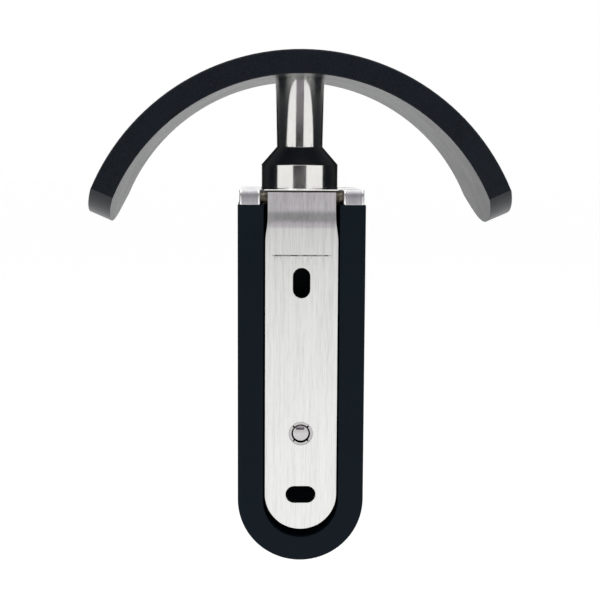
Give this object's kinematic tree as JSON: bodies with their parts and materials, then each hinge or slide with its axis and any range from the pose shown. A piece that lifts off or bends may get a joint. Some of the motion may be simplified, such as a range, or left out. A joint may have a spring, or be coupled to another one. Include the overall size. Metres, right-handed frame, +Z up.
{
  "type": "headphone hook",
  "caption": "Folding headphone hook: a black arched rest on a polished post and black round-ended arm, hinged to a slotted steel mounting plate that snaps into the arm.",
  "frame": {"origin": "on the mounting plate's wall face, halfway between the centres of the two screw slots", "axes": "+Z up, +Y out from the wall, +X to the right as seen from the wall's side"},
  "size_m": [0.1204, 0.0455, 0.1423],
  "materials": {
    "plate_steel": "brushed",
    "yoke_steel": "brushed",
    "post_steel": "polished",
    "arm_black": "black anodised",
    "arch_black": "black textured coat",
    "hinge_bronze": "satin",
    "snap_steel": "polished",
    "ball_steel": "polished",
    "pin_steel": "ground",
    "screw_steel": "plain",
    "screw_black": "black oxide"
  },
  "bodies": {
    "wall_mount": {"mounting_plate": "plate_steel", "hinge_barrel": "hinge_bronze", "snap_socket": "snap_steel"},
    "hook": {"arm": "arm_black", "yoke": "yoke_steel", "yoke_screws": "screw_steel", "hinge_pin": "pin_steel", "hinge_washers": "hinge_bronze", "post": "post_steel", "post_screw": "screw_steel", "arch": "arch_black", "arch_screw": "screw_black", "ball_stud": "ball_steel"}
  },
  "joints": [
    {"name": "hook_swing", "type": "hinge", "parent": "wall_mount", "child": "hook", "pos_m": [0, 0.00413, 0.0532], "axis": [1, 0, 0], "range_deg": [0, 90]}
  ]
}
